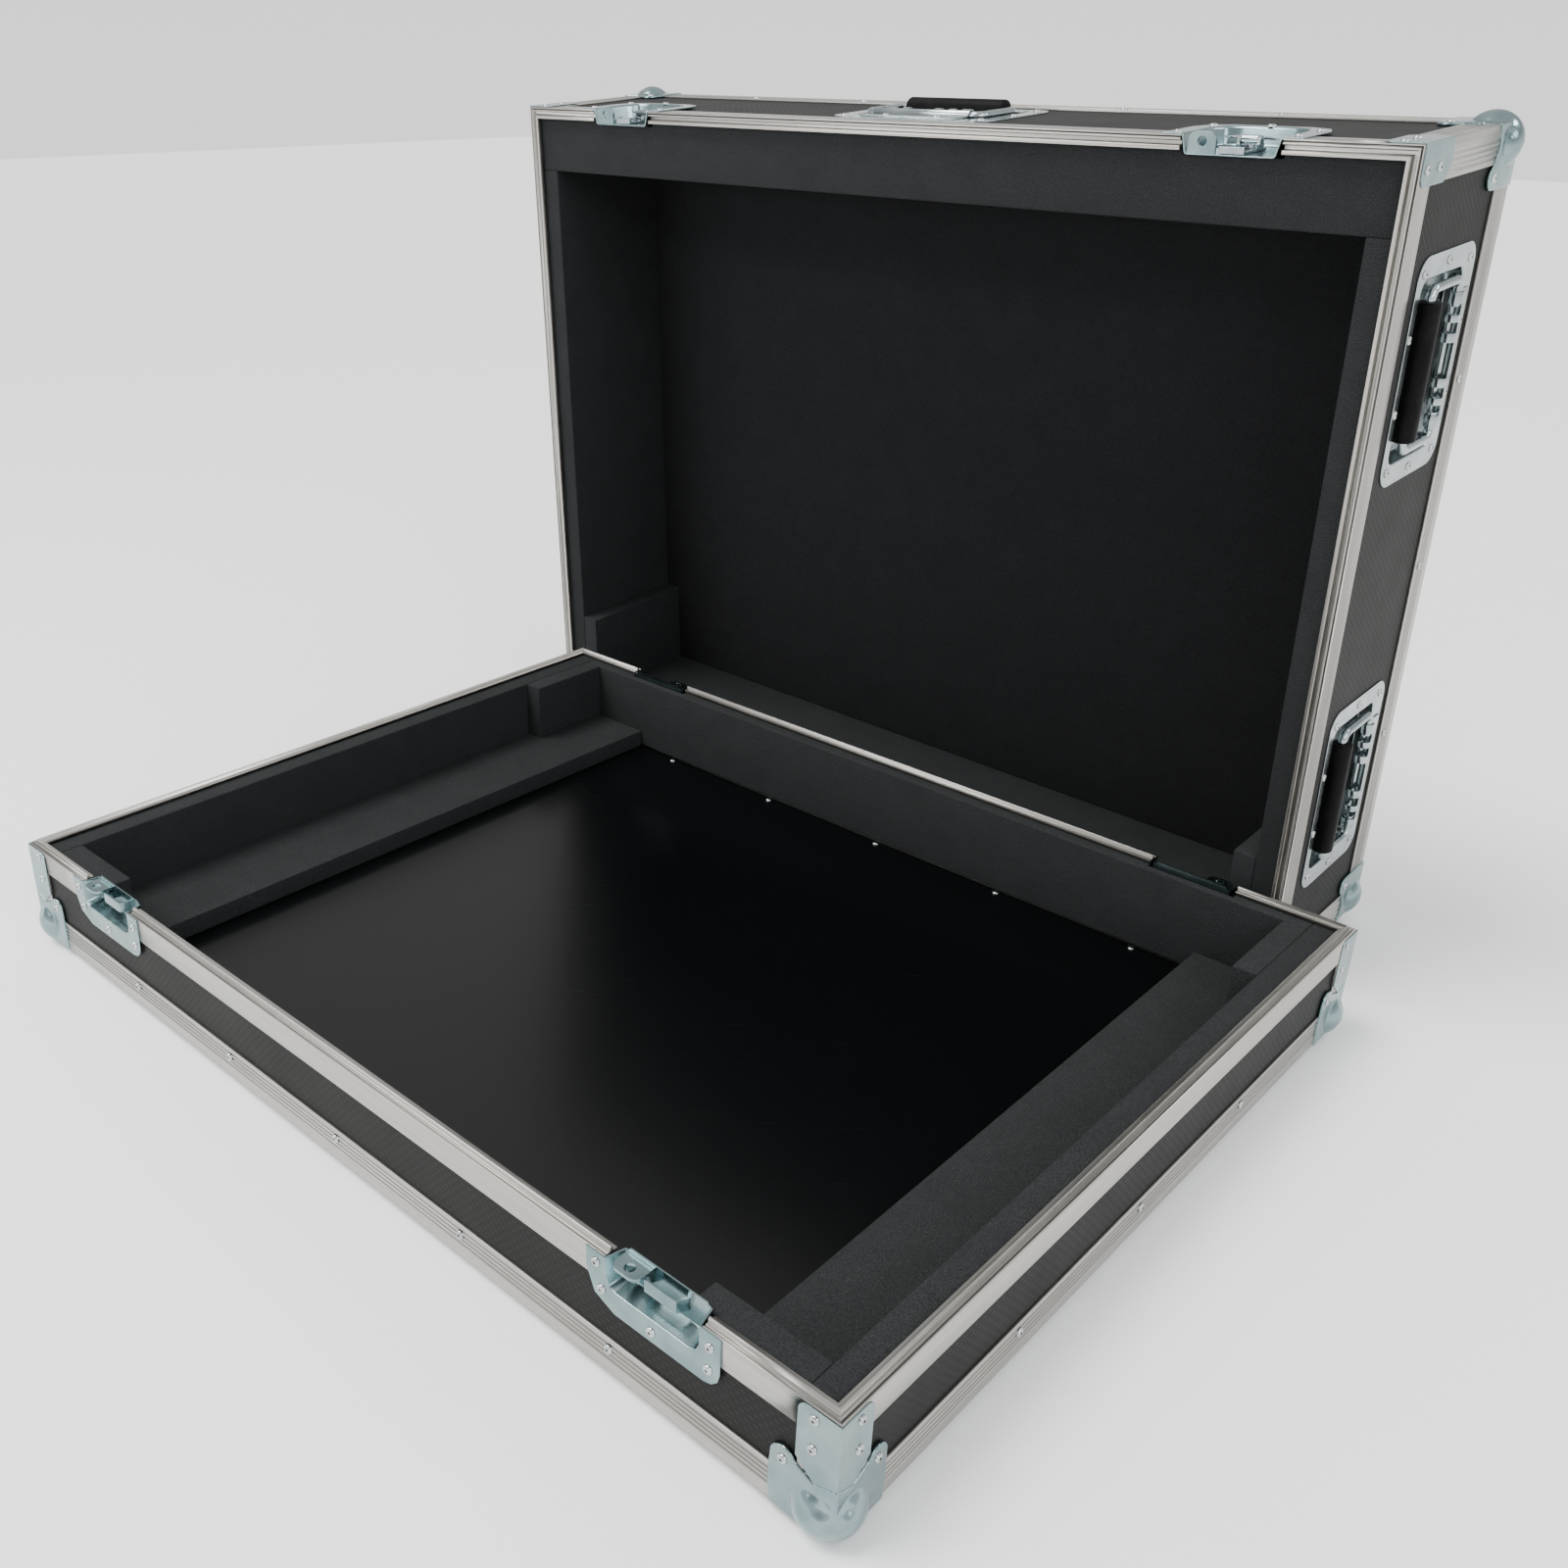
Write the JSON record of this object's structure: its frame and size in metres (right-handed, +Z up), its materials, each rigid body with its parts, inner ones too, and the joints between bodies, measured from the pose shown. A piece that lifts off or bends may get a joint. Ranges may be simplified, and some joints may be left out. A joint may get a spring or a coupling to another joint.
{
  "type": "flight case",
  "caption": "Flight case for a mixer: shallow base tray with foam supports and a deep lift-off lid standing behind it, with butterfly latches, ball corners and spring handles.",
  "frame": {"origin": "on the floor under the middle of the base tray", "axes": "+X along the width, +Y from the front to the back, +Z up"},
  "size_m": [1.0909, 1.0135, 0.7779],
  "materials": {
    "aluminium": "satin extruded",
    "zinc_steel": "zinc plated, satin",
    "panel_black": "patterned laminate face",
    "deck_black": "smooth dark laminate",
    "foam": "charcoal closed-cell foam",
    "rubber": "soft black",
    "bail_steel": "bright zinc"
  },
  "bodies": {
    "base": {"base_front_panel": "panel_black", "base_back_panel": "panel_black", "base_left_panel": "panel_black", "base_right_panel": "panel_black", "base_floor_panel": "deck_black", "base_edge_extrusions": "aluminium", "base_rim_extrusions": "aluminium", "base_corner_posts": "aluminium", "base_ball_corners": "zinc_steel", "base_corner_braces": "zinc_steel", "base_foam_sides": "foam", "base_foam_back": "foam", "base_foam_ledges": "foam", "base_foam_back_blocks": "foam", "base_foam_front_blocks": "foam", "base_keeper_dishes": "zinc_steel", "base_keeper_fittings": "zinc_steel", "base_rivets": "zinc_steel"},
    "lid": {"lid_front_panel": "panel_black", "lid_back_panel": "panel_black", "lid_left_panel": "panel_black", "lid_right_panel": "panel_black", "lid_top_panel": "panel_black", "lid_edge_extrusions": "aluminium", "lid_rim_extrusions": "aluminium", "lid_corner_posts": "aluminium", "lid_ball_corners": "zinc_steel", "lid_corner_braces": "zinc_steel", "lid_foam_front": "foam", "lid_foam_back": "foam", "lid_foam_sides": "foam", "lid_foam_blocks": "foam", "lid_foam_top": "foam", "lid_latch_dishes": "zinc_steel", "lid_latch_tabs": "zinc_steel", "lid_handle_dishes": "zinc_steel", "lid_handle_hinges": "zinc_steel", "lid_rivets": "zinc_steel"},
    "rotor_front_left": {"latch_rotor_front_left": "zinc_steel"},
    "wing_front_left": {"latch_wing_front_left": "zinc_steel"},
    "hook_front_left": {"latch_hook_front_left": "zinc_steel"},
    "rotor_front_right": {"latch_rotor_front_right": "zinc_steel"},
    "wing_front_right": {"latch_wing_front_right": "zinc_steel"},
    "hook_front_right": {"latch_hook_front_right": "zinc_steel"},
    "rotor_back_left": {"latch_rotor_back_left": "zinc_steel"},
    "wing_back_left": {"latch_wing_back_left": "zinc_steel"},
    "hook_back_left": {"latch_hook_back_left": "zinc_steel"},
    "rotor_back_right": {"latch_rotor_back_right": "zinc_steel"},
    "wing_back_right": {"latch_wing_back_right": "zinc_steel"},
    "hook_back_right": {"latch_hook_back_right": "zinc_steel"},
    "handle_front": {"handle_bail_front": "bail_steel", "handle_grip_front": "rubber"},
    "handle_left_rear": {"handle_bail_left_rear": "bail_steel", "handle_grip_left_rear": "rubber"},
    "handle_left_fore": {"handle_bail_left_fore": "bail_steel", "handle_grip_left_fore": "rubber"},
    "handle_right_fore": {"handle_bail_right_fore": "bail_steel", "handle_grip_right_fore": "rubber"},
    "handle_right_rear": {"handle_bail_right_rear": "bail_steel", "handle_grip_right_rear": "rubber"}
  },
  "joints": [
    {"name": "lid_lift", "type": "slide", "parent": "base", "child": "lid", "axis": [0, 0, 1], "range_m": [0, 0.15]},
    {"name": "latch_turn_front_left", "type": "hinge", "parent": "lid", "child": "rotor_front_left", "pos_m": [-0.42212, 0.40679, 0.76007], "axis": [-0.0012, -0.06, 0.9982], "range_deg": [0, 180]},
    {"name": "latch_fold_front_left", "type": "hinge", "parent": "rotor_front_left", "child": "wing_front_left", "pos_m": [-0.42211, 0.4071, 0.75503], "axis": [0.9998, -0.0192, 0], "range_deg": [0, 90]},
    {"name": "latch_hook_front_left", "type": "slide", "parent": "lid", "child": "hook_front_left", "axis": [-0.0192, -0.998, -0.06], "range_m": [0, 0.01201]},
    {"name": "latch_turn_front_right", "type": "hinge", "parent": "lid", "child": "rotor_front_right", "pos_m": [0.27775, 0.39336, 0.76007], "axis": [-0.0012, -0.06, 0.9982], "range_deg": [0, 180]},
    {"name": "latch_fold_front_right", "type": "hinge", "parent": "rotor_front_right", "child": "wing_front_right", "pos_m": [0.27776, 0.39366, 0.75503], "axis": [0.9998, -0.0192, 0], "range_deg": [0, 90]},
    {"name": "latch_hook_front_right", "type": "slide", "parent": "lid", "child": "hook_front_right", "axis": [-0.0192, -0.998, -0.06], "range_m": [0, 0.01201]},
    {"name": "latch_turn_back_left", "type": "hinge", "parent": "lid", "child": "rotor_back_left", "pos_m": [-0.42125, 0.45215, 0.00543], "axis": [0.0012, 0.06, -0.9982], "range_deg": [0, 180]},
    {"name": "latch_fold_back_left", "type": "hinge", "parent": "rotor_back_left", "child": "wing_back_left", "pos_m": [-0.42125, 0.45184, 0.01047], "axis": [-0.9998, 0.0192, 0], "range_deg": [0, 90]},
    {"name": "latch_hook_back_left", "type": "slide", "parent": "lid", "child": "hook_back_left", "axis": [-0.0192, -0.998, -0.06], "range_m": [0, 0.01201]},
    {"name": "latch_turn_back_right", "type": "hinge", "parent": "lid", "child": "rotor_back_right", "pos_m": [0.27863, 0.43871, 0.00543], "axis": [0.0012, 0.06, -0.9982], "range_deg": [0, 180]},
    {"name": "latch_fold_back_right", "type": "hinge", "parent": "rotor_back_right", "child": "wing_back_right", "pos_m": [0.27862, 0.43841, 0.01047], "axis": [-0.9998, 0.0192, 0], "range_deg": [0, 90]},
    {"name": "latch_hook_back_right", "type": "slide", "parent": "lid", "child": "hook_back_right", "axis": [-0.0192, -0.998, -0.06], "range_m": [0, 0.01201]},
    {"name": "handle_front", "type": "hinge", "parent": "lid", "child": "handle_front", "pos_m": [-0.07149, 0.43597, 0.76283], "axis": [0.9998, -0.0192, 0], "range_deg": [0, 90], "stiffness_Nm_per_rad": 0.25, "springref_deg": -20.05},
    {"name": "handle_left_rear", "type": "hinge", "parent": "lid", "child": "handle_left_rear", "pos_m": [-0.57072, 0.5123, 0.58591], "axis": [0.0012, 0.06, -0.9982], "range_deg": [0, 90], "stiffness_Nm_per_rad": 0.25, "springref_deg": -20.05},
    {"name": "handle_left_fore", "type": "hinge", "parent": "lid", "child": "handle_left_fore", "pos_m": [-0.57026, 0.53606, 0.19063], "axis": [0.0012, 0.06, -0.9982], "range_deg": [0, 90], "stiffness_Nm_per_rad": 0.25, "springref_deg": -20.05},
    {"name": "handle_right_fore", "type": "hinge", "parent": "lid", "child": "handle_right_fore", "pos_m": [0.4303, 0.49308, 0.58591], "axis": [-0.0012, -0.06, 0.9982], "range_deg": [0, 90], "stiffness_Nm_per_rad": 0.25, "springref_deg": -20.05},
    {"name": "handle_right_rear", "type": "hinge", "parent": "lid", "child": "handle_right_rear", "pos_m": [0.43075, 0.51684, 0.19063], "axis": [-0.0012, -0.06, 0.9982], "range_deg": [0, 90], "stiffness_Nm_per_rad": 0.25, "springref_deg": -20.05}
  ],
  "couplings": [
    {"joint": "latch_hook_front_left", "follows": "latch_turn_front_left", "m_per_rad": 0.0038197},
    {"joint": "latch_hook_front_right", "follows": "latch_turn_front_right", "m_per_rad": 0.0038197},
    {"joint": "latch_hook_back_left", "follows": "latch_turn_back_left", "m_per_rad": 0.0038197},
    {"joint": "latch_hook_back_right", "follows": "latch_turn_back_right", "m_per_rad": 0.0038197}
  ]
}
